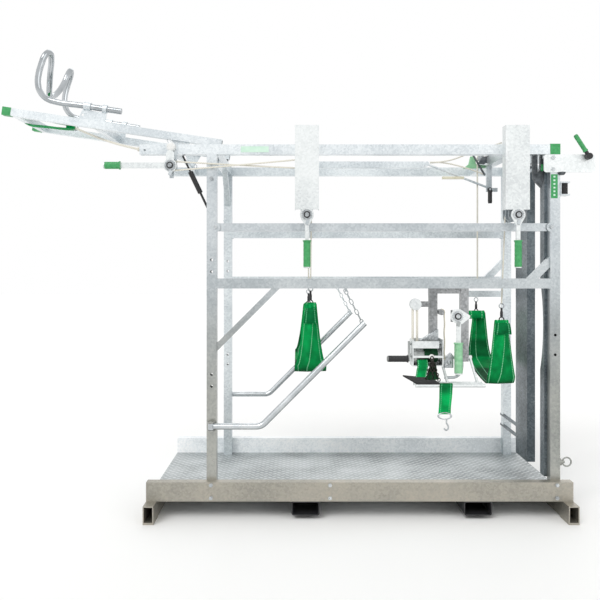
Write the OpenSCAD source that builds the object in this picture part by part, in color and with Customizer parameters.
// Hoof trimming crate: a galvanised stand for one cow, seen with the head end at +X
// and the operator's side at -Y. Z is up from the ground, X = 0 is the middle of its length.

/* [Base] */
// Length of the base along the animal
base_len = 2130; // [1800:10:2400]
// Place of the rear end of the base
base_x = -722; // [-800:1:-650]
// Width of the base over both side beams
base_w = 1000; // [900:10:1200]
// Height of a side beam
beam_h = 95; // [80:1:120]
// Thickness of a side beam across the base
beam_w = 50; // [40:1:60]
// Wall of the square and rectangular tubes
tube_wall = 3; // [2:0.5:4]
// Height of the cross feet tubes
foot_h = 84; // [70:1:90]
// Width of a cross foot along the base
foot_w = 52; // [40:1:70]
// Length of a cross foot across the base
foot_len = 1160; // [1040:10:1300]
// Thickness of the pads under the feet
pad_t = 6; // [4:1:10]
// Thickness of the floor plate
floor_t = 4; // [3:1:6]
// Width of a fork pocket
pocket_w = 140; // [120:1:180]
// Height of a fork pocket
pocket_h = 70; // [60:1:76]
// Wall of a fork pocket
pocket_wall = 5; // [3:1:8]
// Distance between the fork pockets' centres
pocket_pitch = 860; // [700:10:900]
// Place of the rear fork pocket
pocket_x = 73; // [0:1:150]

/* [Uprights and rails] */
// Side of the square post tube
post_w = 50; // [40:1:60]
// Place of the rear posts
rear_post_x = -401; // [-450:1:-350]
// Place of the head posts
head_post_x = 1335; // [1250:1:1350]
// Height of the post tops
top_z = 1878; // [1700:1:2000]
// Height of the top rail's section
top_rail_h = 50; // [40:1:60]
// Middle height of the middle rail
mid_rail_z = 1460; // [1380:1:1500]
// Side of the middle rail tube
mid_rail_w = 40; // [30:1:50]
// Middle height of the lower rail
low_rail_z = 1175; // [1100:1:1250]
// Height of the lower rail's section
low_rail_h = 50; // [40:1:60]
// Length of the arms that carry the leg frame, rearwards of the posts
arm_len = 340; // [260:1:400]
// Radius of the accessory holes in the posts
post_hole_r = 7; // [5:0.5:9]
// Spacing of each pair of accessory holes
post_hole_pitch = 60; // [40:1:80]
// Middle height of the upper pair of accessory holes
upper_holes_z = 1265; // [1240:1:1300]
// Middle height of the lower pair of accessory holes
lower_holes_z = 686; // [640:1:740]

/* [Leg frame] */
// Place of the leg frame's hinge axle along the crate
hinge_x = -603; // [-640:1:-560]
// Height of the hinge axle
hinge_z = 1855; // [1840:1:1865]
// Radius of the hinge axle
axle_r = 12; // [10:0.5:15]
// Rearward rise of the leg frame in degrees
frame_tilt = 8.5; // [4:0.5:14]
// Side of the leg frame tube
frame_tube = 40; // [30:1:50]
// Distance from the crate's middle to each leg frame rail
frame_half = 225; // [180:1:260]
// Height of the leg frame rails' middle over the axle
frame_lift = 97; // [85:1:120]
// Reach of the leg frame rearwards of the axle
frame_reach = 919; // [800:1:1000]
// Reach of the leg frame forwards of the axle
frame_tail = 219; // [190:1:260]
// Diameter of the leg rest tube
rest_d = 32; // [25:1:38]
// Height of the leg rest stems over the axle
rest_lift = 189; // [180:1:210]
// Height of the leg rest humps over the axle
hump_lift = 450; // [400:1:480]

/* [Winches] */
// Place of the rear belly winch
rear_winch_x = 80; // [40:1:160]
// Place of the front belly winch
front_winch_x = 1128; // [1060:1:1140]
// Height of the belly winch shafts
winch_z = 1518; // [1505:1:1540]
// Radius of a winch shaft
shaft_r = 10; // [8:0.5:12]
// Radius of a winch drum
drum_r = 20; // [16:1:24]
// Width of a strap box
box_w = 120; // [100:1:140]
// Height of a strap box
box_h = 421; // [380:1:440]
// Length of a belly winch lever
lever_len = 264; // [220:1:300]
// Diameter of a lever grip
grip_d = 34; // [26:1:38]
// Length of a lever grip
grip_len = 132; // [100:1:150]
// Place of the leg frame winch
frame_winch_x = -602; // [-630:1:-570]
// Height of the leg frame winch shaft
frame_winch_z = 1765; // [1750:1:1775]
// Length of the leg frame winch lever
frame_lever_len = 330; // [280:1:360]

/* [Belts] */
// Width of a belly belt at its bottom
belt_w = 145; // [110:1:180]
// Thickness of a belly belt
belt_t = 6; // [4:1:10]
// Height of the rear belt's bottom
rear_belt_z = 715; // [600:1:800]
// Height of the front belt's bottom
front_belt_z = 652; // [560:1:720]
// Distance from the crate's middle to each belt end
belt_half = 372; // [360:1:380]

/* [Kick bars] */
// Diameter of a kick bar
kick_d = 32; // [26:1:38]
// Height of the kick bars' level part
kick_z = 458; // [400:1:520]
// Length of the kick bars' level part
kick_level = 252; // [200:1:320]
// Reach of the kick bars' raised end along the crate
kick_rise = 520; // [440:1:560]

/* [Head gate] */
// Thickness of a yoke jaw along the crate
jaw_t = 44; // [36:1:50]
// Width of the sliding yoke jaw
jaw_w = 210; // [160:1:220]
// Place of the sliding jaw's neck edge
jaw_edge_y = -120; // [-140:1:-80]
// Width of the fixed jaw at its foot
fixed_jaw_w = 64; // [50:1:80]
// Height of the jaws' lower ends
jaw_z = 187; // [160:1:240]
// Radius of the yoke guide bar
guide_r = 14; // [10:1:16]
// Length of the gate lever's plate
plate_len = 258; // [220:1:300]
// Height of the gate lever's plate
plate_h = 90; // [70:1:100]

/* [Front leg unit] */
// Place of the unit's rear hanger post
hanger_a_x = 721; // [690:1:740]
// Place of the unit's front hanger post
hanger_b_x = 879; // [860:1:900]
// Side of the hanger posts
hanger_w = 40; // [34:1:46]
// Height of the hoof rest's bars
rest_z = 670; // [640:1:700]
// Radius of the unit's winch drum
crank_drum_r = 26; // [20:1:30]
// Length of the crank arm
crank_len = 76; // [60:1:90]

/* [Hidden] */
$fn = 48;

run = 0.05;   // radial gap of a running fit
gap = 0.3;    // gap between pieces that only rest near each other

base_x1 = base_x + base_len;
half_w = base_w / 2;
inner_y = half_w - beam_w;
beam_z = foot_h + pad_t;
beam_top = beam_z + beam_h;
floor_z = beam_z + floor_t;
post_y = inner_y - post_w / 2;
post_in = inner_y - post_w;
rail_x0 = rear_post_x + post_w / 2;
rail_x1 = head_post_x - post_w / 2;
top_rail_z = top_z - top_rail_h / 2;
rail_under = top_z - top_rail_h;
arm_x = rear_post_x - post_w / 2 - arm_len;
galv = [0.78, 0.80, 0.82];
green = [0.0, 0.55, 0.27];
cap_green = [0.22, 0.62, 0.35];
cream = [0.90, 0.88, 0.80];
dark = [0.12, 0.13, 0.13];

// Square or rectangular tubes along each axis, given by their ends and their section's middle

module tube_x(x0, x1, y, z, w, h, t = tube_wall)
  translate([x0, y - w / 2, z - h / 2]) difference() {
    cube([x1 - x0, w, h]);
    translate([-1, t, t]) cube([x1 - x0 + 2, w - 2 * t, h - 2 * t]);
  }

module tube_y(y0, y1, x, z, w, h, t = tube_wall)
  translate([x - w / 2, y0, z - h / 2]) difference() {
    cube([w, y1 - y0, h]);
    translate([t, -1, t]) cube([w - 2 * t, y1 - y0 + 2, h - 2 * t]);
  }

module tube_z(z0, z1, x, y, w, d, t = tube_wall)
  translate([x - w / 2, y - d / 2, z0]) difference() {
    cube([w, d, z1 - z0]);
    translate([t, t, -1]) cube([w - 2 * t, d - 2 * t, z1 - z0 + 2]);
  }

module both_sides() {
  children();
  mirror([0, 1, 0]) children();
}

// A round bar or hole along Y
module bar_y(y0, y1, x, z, r) translate([x, y0, z]) rotate([-90, 0, 0]) cylinder(h = y1 - y0, r = r);

// A round bar or hole along X
module bar_x(x0, x1, y, z, r) translate([x0, y, z]) rotate([0, 90, 0]) cylinder(h = x1 - x0, r = r);

// A plate in the XZ plane, from y0 to y1, with its outline in [x, z] points
module plate_xz(y0, y1) translate([0, y1, 0]) rotate([90, 0, 0]) linear_extrude(y1 - y0) children();

// A plate in the YZ plane, from x0 to x1, with its outline in [y, z] points
module plate_yz(x0, x1)
  multmatrix([[0, 0, 1, x0], [1, 0, 0, 0], [0, 1, 0, 0], [0, 0, 0, 1]])
    linear_extrude(x1 - x0) children();

function unit(v) = v / norm(v);
function heading(p, i) = unit(p[i + 1] - p[i]);
function turn(p, i) = acos(min(1, max(-1, heading(p, i - 1) * heading(p, i))));
function setback(p, r, i) = i == 0 || i == len(p) - 1 ? 0 : r[i] * tan(turn(p, i) / 2);

// A straight round bar between two points
module rod(a, b, d) {
  v = b - a;
  translate(a) rotate([0, acos(v.z / norm(v)), atan2(v.y, v.x)]) cylinder(h = norm(v), d = d);
}

// A round bar bent along points, with a bend radius in r for each of them
module bent_rod(p, r, d) {
  for (i = [0 : len(p) - 2])
    rod(p[i] + setback(p, r, i) * heading(p, i), p[i + 1] - setback(p, r, i + 1) * heading(p, i), d);
  for (i = [1 : len(p) - 2]) {
    a = heading(p, i - 1);
    b = heading(p, i);
    side = unit(b - a * cos(turn(p, i)));
    c = p[i] - setback(p, r, i) * a + r[i] * side;
    up = cross(-side, a);
    multmatrix([
      [-side.x, a.x, up.x, c.x], [-side.y, a.y, up.y, c.y], [-side.z, a.z, up.z, c.z], [0, 0, 0, 1]
    ]) rotate_extrude(angle = turn(p, i), $fn = 40) translate([r[i], 0]) circle(d = d, $fn = 28);
  }
}

// Points of the arc at corner i, and of the whole bent route with its straight stretches between
function arc_at(p, r, i, n) = let (
    a = heading(p, i - 1), b = heading(p, i), side = unit(b - a * cos(turn(p, i))),
    c = p[i] - setback(p, r, i) * a + r[i] * side
  ) [for (k = [0 : n]) let (w = turn(p, i) * k / n) c - r[i] * cos(w) * side + r[i] * sin(w) * a];
function bent_path(p, r, n) = concat(
  [p[0]], [for (i = [1 : len(p) - 2]) each arc_at(p, r, i, n)], [p[len(p) - 1]]);
function along(q, i) = unit(q[min(len(q) - 1, i + 1)] - q[max(0, i - 1)]);
function square_to(n, t) = unit(n - (n * t) * t);

// A round tube along a path, its rings turned as little as the path allows
module swept_tube(q, d, sides) {
  last = len(q) - 1;
  normals = [for (i = 0, n = square_to([0, 1, 0], along(q, 0)); i <= last;
    i = i + 1, n = i <= last ? square_to(n, along(q, i)) : n) n];
  points = [for (i = [0 : last], k = [0 : sides - 1])
    let (n = normals[i], b = cross(along(q, i), n), a = 360 * k / sides)
      q[i] + d / 2 * (cos(a) * n + sin(a) * b)];
  faces = concat(
    [[for (k = [0 : sides - 1]) k]], [[for (k = [sides - 1 : -1 : 0]) last * sides + k]],
    [for (i = [0 : last - 1], k = [0 : sides - 1]) let (j = (k + 1) % sides)
      [i * sides + j, i * sides + k, (i + 1) * sides + k, (i + 1) * sides + j]]
  );
  polyhedron(points, faces, convexity = 8);
}

// A hexagonal bolt head on the outside of the near or far face, side -1 or 1
bolt_af = 18;
bolt_h = 8;
module bolt_head(x, y, z, side)
  translate([x, y, z]) rotate([side < 0 ? 90 : -90, 0, 0])
    cylinder(h = bolt_h, d = bolt_af / cos(30), $fn = 6);

// Points of the leg frame, given along its rails, across and above the axle, in the crate's frame
function from_frame(p) = [
  hinge_x + p.x * cos(frame_tilt) + p.z * sin(frame_tilt), p.y,
  hinge_z - p.x * sin(frame_tilt) + p.z * cos(frame_tilt)
];
module in_frame() translate([hinge_x, 0, hinge_z]) rotate([0, frame_tilt, 0]) children();

// Base

module side_beams() color(galv) both_sides()
  tube_x(base_x, base_x1, half_w - beam_w / 2, beam_z + beam_h / 2, beam_w, beam_h);

module floor_plate() color(galv)
  translate([base_x, -inner_y, beam_z]) cube([base_len, 2 * inner_y, floor_t]);

module cross_feet() {
  for (x = [base_x + foot_w / 2, base_x1 - foot_w / 2]) {
    color(galv) tube_y(-foot_len / 2, foot_len / 2, x, pad_t + foot_h / 2, foot_w, foot_h, 5);
    color(galv) both_sides()
      translate([x - foot_w / 2, foot_len / 2 - 120, 0]) cube([foot_w, 120, pad_t]);
  }
}

module fork_pockets() color(dark) for (i = [0, 1])
  translate([pocket_x + i * pocket_pitch, half_w, beam_z - pocket_h / 2]) rotate([90, 0, 0])
    linear_extrude(base_w) difference() {
      rounded(pocket_w, pocket_h, 12);
      rounded(pocket_w - 2 * pocket_wall, pocket_h - 2 * pocket_wall, 8);
    }

// A rectangle with round corners, in arcs
module rounded(w, h, r) {
  square([w - 2 * r, h], center = true);
  square([w, h - 2 * r], center = true);
  for (x = [-1, 1], y = [-1, 1]) translate([x * (w / 2 - r), y * (h / 2 - r)]) circle(r);
}

// Posts

module post_holes(x, heights, y)
  for (z = heights) bar_y(y - post_w, y + post_w, x, z, post_hole_r);

rear_hole_heights = [for (m = [upper_holes_z, lower_holes_z], s = [-0.5, 0.5]) m + s * post_hole_pitch];
head_hole_z = 865;
head_hole_pitch = 100;
head_hole_heights = [for (s = [-0.5, 0.5]) head_hole_z + s * head_hole_pitch];

module rear_posts() color(galv) both_sides() difference() {
  tube_z(floor_z, top_z, rear_post_x, post_y, post_w, post_w);
  post_holes(rear_post_x, rear_hole_heights, post_y);
}

jaw_x = head_post_x - 39;
jaw_rod_r = 10;
jaw_rod_heights = [272, 335];
module head_posts() color(galv) difference() {
  both_sides() difference() {
    tube_z(floor_z, top_z, head_post_x, post_y, post_w, post_w);
    post_holes(head_post_x, head_hole_heights, post_y);
  }
  for (z = jaw_rod_heights) bar_y(0, half_w, jaw_x + jaw_t / 2, z, jaw_rod_r + run);
  bar_x(head_post_x, head_post_x + post_w, -post_y, ring_pin_z, ring_pin_r + run);
}

// Rails

module top_rails() color(galv) both_sides()
  tube_x(rail_x0, rail_x1, post_y, top_rail_z, post_w, top_rail_h);

arm_hole_r = 6;
module rear_arms() color(galv) both_sides() difference() {
  tube_x(arm_x, rear_post_x - post_w / 2, post_y, top_rail_z, post_w, top_rail_h);
  bar_y(post_in - 1, inner_y + 1, hinge_x, hinge_z, axle_r + run);
  bar_y(post_in - 1, inner_y + 1, arm_x + 27, top_rail_z - 4, arm_hole_r);
}

lug_w = 18;
module middle_rails() color(galv) both_sides()
  tube_x(rail_x0 + lug_w, rail_x1 - lug_w, post_y, mid_rail_z, mid_rail_w, mid_rail_w);

module lower_rails() color(galv) both_sides()
  tube_x(rail_x0, rail_x1, post_y, low_rail_z, post_w, low_rail_h);

// Lugs of the middle rails, forked lugs with a pin for the kick bars, and the strut's lower pin
kick_y = inner_y + 20;
kick_pin_r = 8;
kick_lug_t = 6;
kick_ear_gap = 2;
module kick_ear(z) translate([rear_post_x, 0, z]) {
  translate([-18, inner_y, 0]) cube([36, kick_y - inner_y, kick_lug_t]);
  translate([0, kick_y, 0]) cylinder(h = kick_lug_t, r = 18);
}
module frame_lugs() color(galv) both_sides() {
  for (x = [rail_x0, rail_x1]) {
    out = x == rail_x0 ? 1 : -1;
    plate_xz(post_y - mid_rail_w / 2, post_y + mid_rail_w / 2) union() {
      translate([x + out * lug_w / 2, mid_rail_z]) square([lug_w, mid_rail_w], center = true);
    }
    bar_y(inner_y, inner_y + 5, x - out * 4, mid_rail_z, 24);
  }
  kick_ear(kick_z + kick_d / 2 + kick_ear_gap);
  kick_ear(kick_z - kick_d / 2 - kick_ear_gap - kick_lug_t);
  translate([rear_post_x, kick_y, kick_z - kick_d / 2 - 12]) cylinder(h = kick_d + 24, r = kick_pin_r);
  bar_y(-strut_y - 8, post_in, strut_foot.x, strut_foot.z, strut_pin_r);
}

cross_w = 50;
module top_cross_members() color(galv) {
  for (x = [rear_post_x, head_post_x]) tube_y(-post_in, post_in, x, top_rail_z, cross_w, top_rail_h);
  for (x = [rear_winch_x, front_winch_x])
    tube_y(-post_in + bracket_t, post_in, x, top_rail_z, cross_w, top_rail_h);
}

// Knee braces under the rear cross member, and diagonals between posts and lower rails
knee = 150;
knee_w = 42;
brace_w = 42;
rear_brace = 298;
head_brace = 84;
brace_t = 30;
module frame_braces() color(galv) {
  both_sides() plate_yz(rear_post_x - brace_t / 2, rear_post_x + brace_t / 2)
    polygon([
      [post_in, rail_under - knee - knee_w], [post_in, rail_under - knee],
      [post_in - knee, rail_under], [post_in - knee - knee_w, rail_under]
    ]);
  low = low_rail_z - low_rail_h / 2;
  high = low_rail_z + low_rail_h / 2;
  plate_xz(-post_y - brace_t / 2, -post_y + brace_t / 2) polygon([
    [rail_x0, low - rear_brace - brace_w / 2], [rail_x0 + rear_brace + brace_w / 2, low],
    [rail_x0 + rear_brace - brace_w / 2, low], [rail_x0, low - rear_brace + brace_w / 2]
  ]);
  both_sides() plate_xz(post_y - brace_t / 2, post_y + brace_t / 2) polygon([
    [rail_x1, high + head_brace - 28], [rail_x1, high + head_brace + 28],
    [rail_x1 - head_brace - 28, high], [rail_x1 - head_brace + 28, high]
  ]);
}

// Belly winches

box_sheet = 3;
box_front_y = -(half_w + 10);
box_z0 = winch_z + 26;
rope_slot_z = 1776;
module strap_boxes() color(galv) for (x = [rear_winch_x, front_winch_x]) difference() {
  translate([x - box_w / 2, box_front_y, box_z0]) cube([box_w, -inner_y - box_front_y, box_h]);
  translate([x - box_w / 2 + box_sheet, box_front_y + box_sheet, box_z0 - 1])
    cube([box_w - 2 * box_sheet, -inner_y - box_front_y, box_h + 1 - box_sheet]);
  if (x == rear_winch_x)
    translate([x - box_w, -inner_y - 34, rope_slot_z - 36]) cube([box_w / 2 + 20, 40, 72]);
}

bracket_t = 6;
bracket_w = 60;
drum_len = 40;
drum_y0 = -post_in + bracket_t + 2;
drum_y1 = drum_y0 + drum_len;
bearing_y1 = drum_y1 + 2 + bracket_t;
module hanger_outline(x)
  union() {
    translate([x - bracket_w / 2, winch_z]) square([bracket_w, top_z - winch_z]);
    translate([x, winch_z]) circle(bracket_w / 2);
  }
module winch_brackets() {
  color(galv) for (x = [rear_winch_x, front_winch_x]) {
    difference() {
      plate_xz(-inner_y - bracket_t, -inner_y) hanger_outline(x);
      bar_y(-half_w, half_w, x, winch_z, shaft_r + run);
    }
    difference() {
      union() {
        plate_xz(-post_in, -post_in + bracket_t) hanger_outline(x);
        plate_xz(bearing_y1 - bracket_t, bearing_y1) union() {
          translate([x - bracket_w / 2, winch_z]) square([bracket_w, 60]);
          translate([x, winch_z]) circle(bracket_w / 2);
        }
        translate([x - bracket_w / 2, -post_in, winch_z + 60])
          cube([bracket_w, bearing_y1 + post_in, bracket_t]);
      }
      bar_y(-half_w, half_w, x, winch_z, shaft_r + run);
    }
  }
  color(galv) difference() {
    plate_xz(-inner_y - bracket_t, -inner_y) union() {
      translate([frame_winch_x - 27, frame_winch_z]) square([54, top_z - 4 - frame_winch_z]);
      translate([frame_winch_x, frame_winch_z]) circle(27);
      translate([frame_winch_x - 10, frame_winch_z - 58]) square([20, 58]);
    }
    bar_y(-half_w, -post_in, frame_winch_x, frame_winch_z, shaft_r + run);
    bar_y(-half_w, -post_in, hinge_x, hinge_z, axle_r + run);
  }
}

module drum(x, z, y0, y1, s0, s1) {
  bar_y(y0, y1, x, z, drum_r);
  bar_y(y0, y0 + 4, x, z, drum_r + 10);
  bar_y(y1 - 4, y1, x, z, drum_r + 10);
  bar_y(s0, s1, x, z, shaft_r);
}

head_r = 35;
head_t = 8;
lever_y = box_front_y - 2 - head_t;
shaft_out = lever_y - 8;
module rear_belly_drum() color(galv)
  drum(rear_winch_x, winch_z, drum_y0, drum_y1, shaft_out, bearing_y1 + 4);
module front_belly_drum() color(galv)
  drum(front_winch_x, winch_z, drum_y0, drum_y1, shaft_out, bearing_y1 + 4);

// A ratchet lever hanging from its round head, with its grip
module hanging_lever(x, z, y) {
  color(galv) difference() {
    plate_xz(y, y + head_t) union() {
      translate([x, z]) circle(head_r);
      translate([0, z]) polygon([[x - 32, -14], [x + 32, -14], [x + 11, -52], [x - 11, -52]]);
      translate([x - 10, z - lever_len + grip_len + 2]) square([20, lever_len - grip_len - 40]);
    }
    bar_y(y - 1, y + head_t + 1, x, z, shaft_r + run);
  }
  color(cap_green) translate([x, y + head_t / 2, z - lever_len]) {
    cylinder(h = grip_len, d = grip_d);
    translate([0, 0, grip_len]) cylinder(h = 5, d = grip_d + 4);
  }
}
module rear_belly_lever() hanging_lever(rear_winch_x, winch_z, lever_y);
module front_belly_lever() hanging_lever(front_winch_x, winch_z, lever_y);

// Leg frame winch, outside the near arm

fw_drum_y0 = -inner_y - bracket_t - 2 - 34;
fw_lever_y = fw_drum_y0 - 2 - head_t;
module rear_winch_drum() color(galv)
  drum(frame_winch_x, frame_winch_z, fw_drum_y0, fw_drum_y0 + 34, fw_lever_y - 8, -inner_y + 4);

fw_grip_len = 80;
module rear_winch_lever() {
  color(galv) difference() {
    plate_xz(fw_lever_y, fw_lever_y + head_t) union() {
      translate([frame_winch_x, frame_winch_z]) circle(33);
      translate([frame_winch_x - 20, frame_winch_z + 4]) square([40, 52]);
      translate([frame_winch_x, frame_winch_z + 56]) circle(20);
      translate([frame_winch_x - frame_lever_len + fw_grip_len, frame_winch_z - 14])
        square([frame_lever_len - fw_grip_len, 28]);
    }
    bar_y(fw_lever_y - 1, fw_lever_y + head_t + 1, frame_winch_x, frame_winch_z, shaft_r + run);
  }
  color(cap_green)
    bar_x(frame_winch_x - frame_lever_len, frame_winch_x - frame_lever_len + fw_grip_len,
      fw_lever_y + head_t / 2, frame_winch_z, grip_d / 2);
}

// Leg frame

knob_r = 22;
module hinge_axle() {
  axle_end = inner_y + bracket_t + 1;
  color(galv) bar_y(-axle_end, axle_end, hinge_x, hinge_z, axle_r);
  color("white") both_sides() bar_y(axle_end, axle_end + 16, hinge_x, hinge_z + 8, knob_r);
}

// The leg frame's tail rests on these two slanted rubber stops
function rail_under_z(x) =
  hinge_z + (frame_lift - frame_tube / 2) / cos(frame_tilt) - (x - hinge_x) * tan(frame_tilt);
stop_w = 36;
roller_r = 20;
module rubber_buffers() color(dark) {
  translate([buffer_x + 26, -post_y, buffer_z - buffer_h / 2 + gap])
    cylinder(h = buffer_h - 2 * gap, r = roller_r);
  both_sides() plate_xz(frame_half - stop_w / 2, frame_half + stop_w / 2) polygon([
    [rear_post_x - stop_w / 2, top_z], [rear_post_x + stop_w / 2, top_z],
    [rear_post_x + stop_w / 2, rail_under_z(rear_post_x + stop_w / 2) - gap],
    [rear_post_x - stop_w / 2, rail_under_z(rear_post_x - stop_w / 2) - gap]
  ]);
}

frame_cross_x = -457;
sleeve_r = 19;
module leg_frame() color(galv) in_frame() {
  both_sides() {
    tube_x(-frame_reach, frame_tail, frame_half, frame_lift, frame_tube, frame_tube);
    difference() {
      union() {
        bar_y(frame_half - 30, frame_half + 20, 0, 0, sleeve_r);
        plate_xz(frame_half - 4, frame_half + 4) polygon([
          [4 - sleeve_r, 0], [sleeve_r - 4, 0], [48, frame_lift - frame_tube / 2],
          [-48, frame_lift - frame_tube / 2]
        ]);
      }
      bar_y(frame_half - 31, frame_half + 21, 0, 0, axle_r + run);
    }
  }
  for (x = [-frame_reach + frame_tube / 2, frame_cross_x])
    tube_y(-frame_half + frame_tube / 2, frame_half - frame_tube / 2, x, frame_lift,
      frame_tube, frame_tube);
  difference() {
    union() {
      bar_y(strut_y + 8, -frame_half - 20, 0, 0, sleeve_r);
      rotate([0, -frame_tilt, 0]) plate_xz(strut_y + 8, strut_y + 14)
        polygon([[14, -12], [strut_arm, -14], [strut_arm + 10, -4], [strut_arm, 6], [14, 12]]);
    }
    bar_y(strut_y - 1, 0, 0, 0, axle_r + run);
  }
}

cap_len = 46;
module leg_frame_caps() color(cap_green) in_frame() both_sides()
  translate([-frame_reach - cap_len, frame_half - frame_tube / 2 - 2, frame_lift - frame_tube / 2 - 2])
    cube([cap_len, frame_tube + 4, frame_tube + 4]);

sleeve_gap = 95;
sleeve_x = -522;
module rest_sleeves() color(galv) in_frame() both_sides() {
  difference() {
    union() {
      bar_x(sleeve_x - 18, sleeve_x + 18, frame_half, rest_lift, rest_d / 2 + 7);
      bar_x(sleeve_x + sleeve_gap - 11, sleeve_x + sleeve_gap + 11, frame_half, rest_lift, rest_d / 2 + 7);
      plate_xz(frame_half - 4, frame_half + 4) polygon([
        [sleeve_x - 40, frame_lift + frame_tube / 2], [sleeve_x + sleeve_gap + 11, frame_lift + frame_tube / 2],
        [sleeve_x + sleeve_gap + 11, rest_lift - rest_d / 2 - 4], [sleeve_x - 24, rest_lift - rest_d / 2 - 4]
      ]);
    }
    bar_x(sleeve_x - 60, sleeve_x + sleeve_gap + 60, frame_half, rest_lift, rest_d / 2 + run);
    bar_y(frame_half - 10, frame_half + 10, sleeve_x - 20, frame_lift + frame_tube / 2 + 24, 7);
  }
}

// The leg rest: two stems joined over two humps, its route given in the leg frame's own axes
hump_half = 145;
stem_x = [-700, -339];
half_rest = [
  [stem_x[0] + 6, -frame_half, rest_lift], [-832, -frame_half, rest_lift], [-788, -frame_half, hump_lift],
  [-780, -hump_half, hump_lift]
];
leg_rest_route = concat(half_rest, [[-812, 0, 245]], [for (i = [3 : -1 : 0])
  [half_rest[i].x, -half_rest[i].y, half_rest[i].z]]);
leg_rest_bends = [0, 110, 40, 40, 40, 40, 40, 110, 0];
module leg_rest() color([0.86, 0.87, 0.88]) in_frame() {
  both_sides() bar_x(stem_x[0], stem_x[1], frame_half, rest_lift, rest_d / 2);
  swept_tube(bent_path(leg_rest_route, leg_rest_bends, 8), rest_d - 0.6, 20);
}

// Leg sling: a webbing loop round the end crossbar, closed at a rope eye
sling_y = 0;
sling_w = 45;
sling_t = 4;
sling_end = -650;
module leg_sling() in_frame() {
  x0 = -frame_reach - gap - sling_t;
  h = frame_tube / 2 + gap;
  color(green) plate_xz(sling_y - sling_w / 2, sling_y + sling_w / 2) difference() {
    polygon([
      [x0, frame_lift - h - sling_t], [x0, frame_lift + h + sling_t],
      [-frame_reach + frame_tube + 10, frame_lift + h + sling_t], [sling_end, frame_lift + 14],
      [sling_end, frame_lift - 14], [-frame_reach + frame_tube + 10, frame_lift - h - sling_t]
    ]);
    polygon([
      [x0 + sling_t, frame_lift - h], [x0 + sling_t, frame_lift + h],
      [-frame_reach + frame_tube + 10, frame_lift + h], [sling_end - 8, frame_lift + 8],
      [sling_end - 8, frame_lift - 8], [-frame_reach + frame_tube + 10, frame_lift - h]
    ]);
  }
}

leg_rope_d = 12;
rope_eye = [sling_end + 14, sling_y, frame_lift];
rope_tail = [hinge_x - 178, -post_in + 12, hinge_z + 8];
module leg_rope() color(cream) {
  rod(from_frame(rope_eye), rope_tail, leg_rope_d);
  in_frame() translate([sling_end + gap, sling_y, frame_lift]) rotate([0, 90, 0]) cylinder(h = 14, d = 26);
}

// Gas strut between a lug on the near rear post and the leg frame's axle lever

strut_y = -post_in + 18;
strut_foot = [rear_post_x - 20, strut_y, 1545];
strut_arm = 36;
strut_head = [hinge_x + strut_arm, strut_y, hinge_z - 4];
strut_pin_r = 6;
strut_dir = unit(strut_head - strut_foot);
strut_body_0 = 105;
strut_body_len = 120;
strut_d = 26;
strut_rod_d = 10;
module strut_cylinder() {
  color(dark) difference() {
    rod(strut_foot + strut_body_0 * strut_dir, strut_foot + (strut_body_0 + strut_body_len) * strut_dir, strut_d);
    rod(strut_foot + (strut_body_0 + 12) * strut_dir,
      strut_foot + (strut_body_0 + strut_body_len + 1) * strut_dir, strut_rod_d + 2 * run);
  }
  color(galv) difference() {
    union() {
      rod(strut_foot, strut_foot + strut_body_0 * strut_dir, 12);
      bar_y(strut_y - 6, strut_y + 6, strut_foot.x, strut_foot.z, 11);
    }
    bar_y(strut_y - 7, strut_y + 7, strut_foot.x, strut_foot.z, strut_pin_r + run);
  }
}
module strut_rod() color(dark) {
  rod(strut_foot + (strut_body_0 + 40) * strut_dir, strut_head - 9 * strut_dir, strut_rod_d);
  bar_y(strut_y - 6, strut_y + 6, strut_head.x, strut_head.z, 10);
}

// Kick bars

kick_route = [
  [rear_post_x + 12, 0, kick_z], [rear_post_x + kick_level, 0, kick_z],
  [rear_post_x + kick_level + kick_rise, 0, kick_z + kick_rise]
];
module kick_bar() {
  difference() {
    union() {
      bent_rod(kick_route, [0, 60, 0], kick_d);
      translate([rear_post_x, 0, kick_z - kick_d / 2]) cylinder(h = kick_d, d = kick_d);
    }
    translate([rear_post_x, 0, kick_z - kick_d]) cylinder(h = 2 * kick_d, r = kick_pin_r + run);
  }
}
module kick_bar_near() color(galv) translate([0, -kick_y, 0]) kick_bar();
module kick_bar_far() color(galv) translate([0, kick_y, 0]) kick_bar();

// Chains from the lower rails to the kick bars' ends, one link through the next
kick_end = kick_route[2];
chain_d = 5;
link_r = 8;
link_straight = 12;
chain_pitch = 2 * link_r + link_straight - chain_d;
chain_links = 7;
module link() {
  for (s = [-1, 1]) {
    translate([s * link_r, 0, -link_straight / 2]) cylinder(h = link_straight, d = chain_d, $fn = 16);
    translate([0, 0, s * link_straight / 2]) rotate([90, s > 0 ? 0 : 180, 0])
      rotate_extrude(angle = 180, $fn = 24) translate([link_r, 0]) circle(d = chain_d, $fn = 16);
  }
}
module kick_chains() color(galv) both_sides() {
  top = [kick_end.x - 92, post_y, low_rail_z - low_rail_h / 2 - 17];
  foot = [kick_end.x - 12, kick_y - kick_d / 2 - chain_d / 2 - 3.5, kick_end.z + 2];
  v = foot - top;
  n = chain_links - 1;
  for (i = [0 : n])
    translate(top + v * i / n) rotate([0, acos(v.z / norm(v)), atan2(v.y, v.x)])
      rotate([0, 0, i % 2 * 90]) link();
  translate([top.x - 5, top.y - 3, top.z]) cube([10, 6, 17]);
}

// Belly belts: webbing slings, wide at the bottom and narrow at their hooks

belt_top_w = 66;
corner_near = 60;
corner_far = 110;
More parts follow.
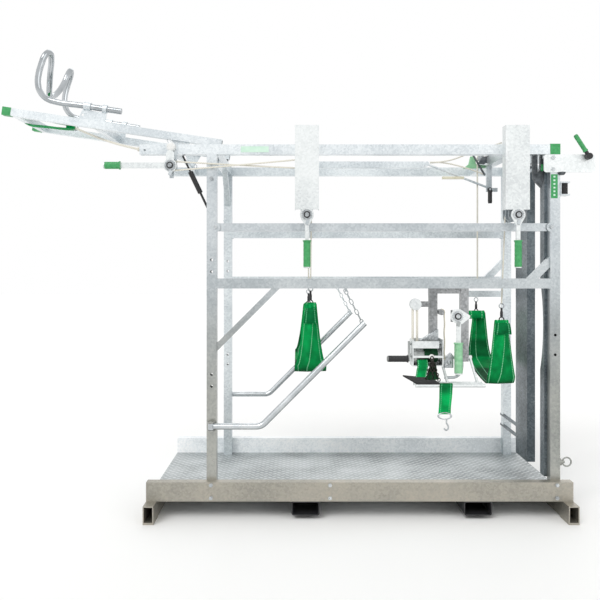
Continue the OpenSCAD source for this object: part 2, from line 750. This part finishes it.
// The sling's route across the crate: down the near side, across and up the far side
function arc_point(c, r, a) = [c.x + r * cos(a), c.y + r * sin(a)];
function sling_route(z_top, z_low, rise) = concat(
  [for (i = [0 : 3]) [-belt_half, z_top - (z_top - z_low - corner_near) * i / 4]],
  [for (i = [0 : 5]) arc_point([-belt_half + corner_near, z_low + corner_near], corner_near, 180 + 18 * i)],
  [for (i = [1 : 5]) [
    -belt_half + corner_near + (2 * belt_half - corner_near - corner_far) * i / 6,
    z_low + rise * i / 6 - 12 * sin(180 * i / 6)
  ]],
  [for (i = [0 : 5]) arc_point([belt_half - corner_far, z_low + rise + corner_far], corner_far, 270 + 18 * i)],
  [for (i = [1 : 4]) [belt_half, z_low + rise + corner_far + (z_top - z_low - rise - corner_far) * i / 4]]
);
function belt_width(z, z_top, z_low) =
  belt_w + (belt_top_w - belt_w) * max(0, min(1, (z - z_low - 40) / (z_top - z_low - 40)));
function slope(r, i) = unit(r[min(len(r) - 1, i + 1)] - r[max(0, i - 1)]);
module belt(x, z_top, z_low, rise, skew = 0) {
  r = sling_route(z_top, z_low, rise);
  n = len(r);
  pts = [for (i = [0 : n - 1], k = [0 : 3])
    let (
      t = slope(r, i), nrm = [-t.y, t.x] * belt_t / 2, w = belt_width(r[i].y, z_top, z_low) / 2,
      cx = x + skew * (r[i].x + belt_half) / (2 * belt_half), s = k < 2 ? -1 : 1
    ) [cx + (k == 0 || k == 3 ? -w : w), r[i].x + s * nrm.x, r[i].y + s * nrm.y]];
  faces = concat(
    [[0, 1, 2, 3]], [[4 * n - 1, 4 * n - 2, 4 * n - 3, 4 * n - 4]],
    [for (i = [0 : n - 2], k = [0 : 3])
      [4 * i + k, 4 * i + 4 + k, 4 * i + 4 + (k + 1) % 4, 4 * i + (k + 1) % 4]]
  );
  polyhedron(pts, faces, convexity = 6);
}
rear_belt_top = 1068;
front_belt_top = 980;
rear_belt_x = 100;
front_belt_x = 1085;
front_belt_skew = 66;
module belly_belts() color(green) {
  belt(rear_belt_x, rear_belt_top, rear_belt_z, 20);
  belt(front_belt_x, front_belt_top, front_belt_z, 40, front_belt_skew);
}

// What carries the belts: ropes from the near drums, a rope from the far rear pulley, snap hooks,
// and the hook arm on the far head post
rope_d = 8;
pulley_r = 22;
far_pulley_x = rear_belt_x + pulley_r + rope_d / 2 + gap;
far_pulley_z = rail_under - 46;
hook_h = 70;
hook_r = 15;
hook_seat = 8;
rope_off = drum_r + rope_d / 2 + gap;
rope_low = hook_seat + hook_h + hook_r - 1;
arm_hook_z = front_belt_top + hook_seat + hook_h + hook_r + gap;
arm_hook_x = 1050;
module snap_hook(x, y, z) {
  translate([x, y, z + hook_r - 5]) cylinder(h = hook_h - 2 * hook_r + 10, d = 12);
  for (s = [0, 1]) translate([x, y - 3.5, z + s * hook_h]) rotate([-90, 0, 0]) difference() {
    cylinder(h = 7, r = hook_r);
    translate([0, 0, -1]) cylinder(h = 9, r = 9);
  }
}
module lift_ropes() {
  color(cream) {
    rod([rear_winch_x + rope_off, -belt_half, winch_z], [rear_belt_x, -belt_half, rear_belt_top + rope_low], rope_d);
    rod([front_winch_x - rope_off, -belt_half, winch_z], [front_belt_x, -belt_half, front_belt_top + rope_low], rope_d);
    rod([rear_belt_x, belt_half, far_pulley_z], [rear_belt_x, belt_half, rear_belt_top + rope_low], rope_d);
  }
  color(dark) {
    both_sides() snap_hook(rear_belt_x, belt_half, rear_belt_top + hook_seat);
    snap_hook(front_belt_x, -belt_half, front_belt_top + hook_seat);
    snap_hook(front_belt_x + front_belt_skew, belt_half, front_belt_top + hook_seat);
  }
}

module rope_pulleys() color(galv) {
  bar_y(belt_half - 6, belt_half + 6, far_pulley_x, far_pulley_z, pulley_r);
  for (y = [belt_half - 13, belt_half + 7]) plate_xz(y, y + 5) union() {
    translate([far_pulley_x, far_pulley_z]) circle(16);
    translate([far_pulley_x - 16, far_pulley_z]) square([32, rail_under - far_pulley_z + 8]);
  }
  translate([far_pulley_x - 16, belt_half - 13, rail_under + 8]) cube([32, post_in - belt_half + 13, 5]);
  bar_y(belt_half - 16, belt_half + 14, far_pulley_x, far_pulley_z, 6);
  bar_y(strand_y - 12, -inner_y - bracket_t, block_x, rope_slot_z, block_r);
}

// Leg frame rope: two strands from the frame winch to a block inside the rear strap box
strand_y = -inner_y - bracket_t - 19;
block_x = rear_winch_x - 20;
block_r = 18;
module frame_rope() color(cream) for (s = [-1, 1])
  rod([frame_winch_x, strand_y + 5 * s, frame_winch_z + s * rope_off],
    [block_x, strand_y + 5 * s, rope_slot_z - s * (block_r + rope_d / 2 + gap)], rope_d);

// Head gate

plate_x = 1275;
plate_z = 1736;
plate_t = 8;
lever_pivot = [plate_x + plate_len - 38, plate_z + plate_h - 12];
module lever_plate() color(galv) difference() {
  plate_xz(-inner_y - plate_t, -inner_y) translate([plate_x + plate_len / 2, plate_z + plate_h / 2])
    rounded(plate_len, plate_h, 14);
  bar_y(-half_w, -post_in, lever_pivot.x, lever_pivot.y, 8 + run);
}

// Covers over the tops of the head posts
cap_t = 3;
module post_caps() color(cap_green) both_sides() {
  translate([head_post_x - post_w / 2, post_in, top_z]) cube([post_w, post_w + cap_t, cap_t]);
  translate([head_post_x - post_w / 2, inner_y, rail_under]) cube([post_w, cap_t, top_rail_h + cap_t]);
}

buffer_z = 1655;
buffer_h = 56;
buffer_x = head_post_x + post_w / 2;
module buffer_bracket() color(galv) {
  translate([buffer_x, -post_y - 30, buffer_z - 35]) cube([5, 60, 70]);
  for (s = [-1, 1]) translate([buffer_x, -post_y - 30, buffer_z + (s < 0 ? -35 : buffer_h / 2)])
    cube([48, 60, 35 - buffer_h / 2]);
}

guide_z = rail_under - 42;
module yoke_guide() color(galv)
  bar_y(-post_in, post_in, jaw_x + jaw_t / 2, guide_z, guide_r);

jaw_top = rail_under - 14;
module near_jaw() color(galv) difference() {
  plate_yz(jaw_x, jaw_x + jaw_t) difference() {
    translate([-post_in, jaw_z]) square([fixed_jaw_w, jaw_top - jaw_z]);
    translate([-post_in + 620 + 18, 960]) circle(620, $fn = 180);
  }
  bar_y(-post_in - 1, 0, jaw_x + jaw_t / 2, guide_z, guide_r + run);
}

module far_jaw() color(galv) {
  difference() {
    translate([jaw_x, jaw_edge_y, jaw_z]) cube([jaw_t, jaw_w, jaw_top - jaw_z]);
    translate([jaw_x + 4, jaw_edge_y + 4, jaw_z - 1]) cube([jaw_t - 8, jaw_w - 8, jaw_top - jaw_z - 60]);
    bar_y(jaw_edge_y - 1, jaw_edge_y + jaw_w + 1, jaw_x + jaw_t / 2, guide_z, guide_r + run);
  }
  for (z = jaw_rod_heights)
    bar_y(jaw_edge_y + jaw_w, inner_y + 12, jaw_x + jaw_t / 2, z, jaw_rod_r);
}

gate_lever_len = 125;
gate_angle = 33;
module gate_lever() {
  y = -inner_y - plate_t - 18;
  a = [lever_pivot.x, y, lever_pivot.y];
  d = [-sin(gate_angle), 0, cos(gate_angle)];
  color(dark) {
    bar_y(y - 12, -inner_y - plate_t - gap, lever_pivot.x, lever_pivot.y, 16);
    bar_y(-inner_y - plate_t - gap - 1, -inner_y + 6, lever_pivot.x, lever_pivot.y, 8);
  }
  color(cap_green) rod(a + 15 * d, a + gate_lever_len * d, 20);
}

ring_pin_z = 268;
ring_pin_r = 7;
ring_r = 26;
module ring_pin() color(galv) {
  x = head_post_x + post_w / 2;
  bar_x(x - 12, x + 30, -post_y, ring_pin_z, ring_pin_r);
  bar_x(x + 2, x + 12, -post_y, ring_pin_z, 18);
  translate([x + 42, -post_y, ring_pin_z]) rotate([90, 0, 0])
    rotate_extrude($fn = 48) translate([ring_r - 4, 0]) circle(d = 8, $fn = 24);
}

// Bar and rod that run from the middle cross member to the gate's release handle
link_z = 1837;
link_end_x = 750;
handle_x = 1117;
handle_z = 1697;
handle_pin_r = 6;
link_plate = 12;
module gate_linkage() {
  color(galv) {
    tube_x(rear_winch_x + cross_w / 2, link_end_x, 0, link_z, 30, 36);
    bar_y(-20, 20, link_end_x + 12, link_z + 4, 14);
    translate([handle_x - 14, -link_plate, handle_z + 9]) cube([28, 2 * link_plate, rail_under - handle_z - 9]);
    translate([handle_x - 14, -link_plate, handle_z - 12]) cube([60, 2 * link_plate, 21]);
    bar_y(-30, -link_plate, handle_x, handle_z, handle_pin_r);
  }
  color(dark) rod([link_end_x + 25, 0, link_z + 2], [handle_x - 12, 0, handle_z + 14], 12);
  color(galv) tube_x(arm_hook_x, rail_x1, post_y, arm_hook_z + 19, 40, 38);
}
module release_handle() color(dark) difference() {
  union() {
    bar_y(-link_plate - 14, -link_plate - gap, handle_x, handle_z, 11);
    translate([handle_x, -link_plate - 12, handle_z - 79]) cylinder(h = 71, d = 22);
  }
  bar_y(-half_w, 0, handle_x, handle_z, handle_pin_r + run);
}

// Front leg unit under the near lower rail

unit_top = low_rail_z - low_rail_h / 2;
hanger_y = -post_y;
hanger_low = 780;
fold_r = 9;
unit_shaft = [837, 1011];
guide_pos = [626, 1071];
guide_pulley_r = 29;
roller_pos = [758, 1030];
module leg_unit_frame() color(galv) {
  difference() {
    for (x = [hanger_a_x, hanger_b_x]) tube_z(hanger_low, unit_top, x, hanger_y, hanger_w, hanger_w);
    bar_x(hanger_a_x - hanger_w, hanger_b_x + hanger_w, hanger_y, fold_z, fold_r + run);
  }
  translate([hanger_a_x + hanger_w / 2, hanger_y - 15, unit_top - 26])
    cube([hanger_b_x - hanger_a_x - hanger_w, 30, 26]);
  difference() {
    plate_xz(unit_face, unit_face + bracket_t) union() {
      translate([guide_pos.x, guide_pos.y - 14]) square([hanger_a_x + 10 - guide_pos.x, 28]);
      translate(guide_pos) circle(16);
      translate([unit_shaft.x - 30, unit_shaft.y - 30]) square([hanger_b_x - unit_shaft.x + 40, 60]);
    }
    bar_y(-half_w, 0, guide_pos.x, guide_pos.y, guide_shaft_r + run);
    bar_y(-half_w, 0, unit_shaft.x, unit_shaft.y, shaft_r + run);
  }
  bar_y(hanger_y - 40, hanger_y + 20, roller_pos.x, roller_pos.y, strap_roller_r);
  bar_x(hanger_a_x + hanger_w / 2, roller_pos.x, hanger_y, roller_pos.y, 8);
}

unit_face = hanger_y - hanger_w / 2 - bracket_t;
guide_shaft_r = 6;
guide_core_r = 23;
strap_roller_r = 14;
module guide_pulley() color(galv) {
  bar_y(unit_face - 28, unit_face - 2, guide_pos.x, guide_pos.y, guide_core_r);
  bar_y(unit_face - 28, unit_face - 24, guide_pos.x, guide_pos.y, guide_pulley_r);
  bar_y(unit_face - 6, unit_face - 2, guide_pos.x, guide_pos.y, guide_pulley_r);
  bar_y(unit_face - 2, unit_face + bracket_t + 8, guide_pos.x, guide_pos.y, guide_shaft_r);
}

leg_lever_len = 290;
leg_lever_grip = 155;
leg_grip_d = 40;
leg_lever_y = unit_face - leg_grip_d / 2 - 7;
module leg_ratchet_drum() color(galv) {
  bar_y(leg_lever_y - 8, hanger_y + 20, unit_shaft.x, unit_shaft.y, shaft_r);
  bar_y(unit_face + bracket_t + 2, hanger_y + 20, unit_shaft.x, unit_shaft.y, 18);
}
module leg_ratchet_lever() {
  color(galv) difference() {
    plate_xz(leg_lever_y, leg_lever_y + head_t) union() {
      translate(unit_shaft) circle(36);
      translate(unit_shaft) polygon([[-30, 34], [12, 36], [62, 4], [62, -6], [20, -40]]);
      translate([unit_shaft.x - 8, unit_shaft.y - leg_lever_len + leg_lever_grip - 5])
        square([24, leg_lever_len - leg_lever_grip - 10]);
    }
    bar_y(leg_lever_y - 1, leg_lever_y + head_t + 1, unit_shaft.x, unit_shaft.y, shaft_r + run);
  }
  color([0.55, 0.78, 0.55])
    translate([unit_shaft.x + 4, leg_lever_y + head_t / 2, unit_shaft.y - leg_lever_len])
      cylinder(h = leg_lever_grip, d = leg_grip_d);
}

// Hand winch: an open cradle, a drum along the crate, and a crank that drives it through gears
cradle_x0 = 600;
cradle_x1 = 752;
cradle_z = [768, 900];
cradle_deep = 96;
cradle_t = 5;
gear_r = 42;
pinion_r = 16;
gear_w = 14;
gear_play = 1;
pinion_shaft_r = 8;
drum_axis = [hanger_y - 72, 818];
pinion_axis = [drum_axis.x, drum_axis.y + gear_r + pinion_r + gear_play];
module winch_housing() color(galv) difference() {
  y0 = hanger_y - 20 - cradle_deep;
  h = cradle_z[1] - cradle_z[0];
  union() {
    for (x = [cradle_x0, cradle_x1 - cradle_t]) translate([x, y0, cradle_z[0]]) cube([cradle_t, cradle_deep, h]);
    translate([cradle_x0, hanger_y - 26, cradle_z[0]]) cube([cradle_x1 - cradle_x0, 6, h]);
    translate([cradle_x0, y0, cradle_z[0]]) cube([cradle_x1 - cradle_x0, cradle_deep, cradle_t]);
  }
  bar_x(cradle_x0 - 1, cradle_x1 + 1, drum_axis.x, drum_axis.y, shaft_r + run);
  bar_x(cradle_x0 - 1, cradle_x1 + 1, pinion_axis.x, pinion_axis.y, pinion_shaft_r + run);
}
module winch_drum() color(galv) {
  bar_x(cradle_x0 - 4, cradle_x1 + 4, drum_axis.x, drum_axis.y, shaft_r);
  bar_x(cradle_x0 + 7, cradle_x0 + 7 + gear_w, drum_axis.x, drum_axis.y, gear_r);
  bar_x(cradle_x0 + 20, cradle_x1 - 10, drum_axis.x, drum_axis.y, crank_drum_r);
  bar_x(cradle_x1 - 12, cradle_x1 - 8, drum_axis.x, drum_axis.y, crank_drum_r + 10);
}
crank_grip_len = 104;
module crank() {
  color(galv) {
    bar_x(cradle_x0 - 16, cradle_x1 + 4, pinion_axis.x, pinion_axis.y, pinion_shaft_r);
    bar_x(cradle_x0 + 7, cradle_x0 + 7 + gear_w, pinion_axis.x, pinion_axis.y, pinion_r);
    translate([cradle_x0 - 16, pinion_axis.x - 11, pinion_axis.y - crank_len - 12])
      cube([8, 22, crank_len + 24]);
  }
  color(dark) bar_x(cradle_x0 - 16 - crank_grip_len, cradle_x0 - 16,
    pinion_axis.x, pinion_axis.y - crank_len, 15);
}

// Folding hoof rest, hinged on a bar through the hanger posts
fold_z = 800;
rest_y = [hanger_y - 90, hanger_y - 20];
rest_x = [618, 965];
rest_bar_r = 9;
module hoof_rest() color(galv) {
  bar_x(hanger_a_x - 28, hanger_b_x + 39, hanger_y, fold_z, fold_r);
  for (x = [hanger_a_x + 37, hanger_b_x + 30])
    rod([x, hanger_y, fold_z], [x + 34, rest_y[1], rest_z], 14);
  for (y = rest_y) bar_x(rest_x[0], rest_x[1], y, rest_z, rest_bar_r);
  for (x = [rest_x[0] + 8, rest_x[1] - 8]) bar_y(rest_y[0], rest_y[1], x, rest_z, 7);
}
mat_len = 115;
module hoof_mat() color(dark)
  translate([rest_x[0], rest_y[0] - 6, rest_z + rest_bar_r]) cube([mat_len, rest_y[1] - rest_y[0] + 20, 8]);

// Webbing strap with a ring and hook, hanging from the hoof rest's front bar
hoof_strap_x = [737, 803];
hoof_strap_z = 530;
module hoof_strap() color(green) {
  front = rest_y[0] - rest_bar_r - gap;
  top = rest_z + rest_bar_r + gap;
  plate_yz(hoof_strap_x[0], hoof_strap_x[1]) polygon([
    [front - 4, hoof_strap_z], [front, hoof_strap_z], [front, top], [rest_y[0] - 2, top],
    [rest_y[0] - 2, top + 4], [front - 4, top + 4]
  ]);
}

// Rope of the hand winch over the guide pulley, and the strap over the small roller
module leg_strap() color(cream) {
  rope_x = guide_pos.x + guide_core_r + rope_d / 2 + gap;
  translate([rope_x, drum_axis.x + crank_drum_r + rope_d / 2 + gap, drum_axis.y])
    cylinder(h = guide_pos.y - drum_axis.y, d = rope_d);
  translate([roller_pos.x + strap_roller_r + gap, hanger_y - 38, hanger_low + 10])
    cube([4, 24, roller_pos.y - hanger_low - 10]);
}

// Bolt heads of the frame
module frame_bolts() color(galv) {
  both_sides() {
    for (x = [rear_post_x + 3, 195, base_x1 - 82], z = [beam_z + 18, beam_z + 82])
      bolt_head(x, half_w, z, 1);
    for (z = [1706, 1766]) bolt_head(rear_post_x, inner_y, z, 1);
    for (x = [rail_x0 - 4, rail_x1 + 4]) bolt_head(x, inner_y + 5, mid_rail_z, 1);
  }
  for (z = [plate_z + 16, plate_z + 74]) bolt_head(head_post_x - 23 + 9, -inner_y - plate_t, z, -1);
}

side_beams();
floor_plate();
cross_feet();
fork_pockets();
rear_posts();
head_posts();
top_rails();
rear_arms();
middle_rails();
lower_rails();
frame_lugs();
top_cross_members();
frame_braces();
strap_boxes();
winch_brackets();
hinge_axle();
rubber_buffers();
lever_plate();
post_caps();
buffer_bracket();
yoke_guide();
near_jaw();
leg_unit_frame();
winch_housing();
kick_chains();
lift_ropes();
belly_belts();
rope_pulleys();
gate_linkage();
frame_rope();
leg_strap();
frame_bolts();
leg_frame();
leg_frame_caps();
rest_sleeves();
leg_sling();
leg_rope();
leg_rest();
strut_cylinder();
strut_rod();
rear_winch_drum();
rear_winch_lever();
rear_belly_drum();
rear_belly_lever();
front_belly_drum();
front_belly_lever();
kick_bar_near();
kick_bar_far();
far_jaw();
gate_lever();
ring_pin();
leg_ratchet_drum();
leg_ratchet_lever();
crank();
winch_drum();
guide_pulley();
hoof_rest();
hoof_mat();
hoof_strap();
release_handle();
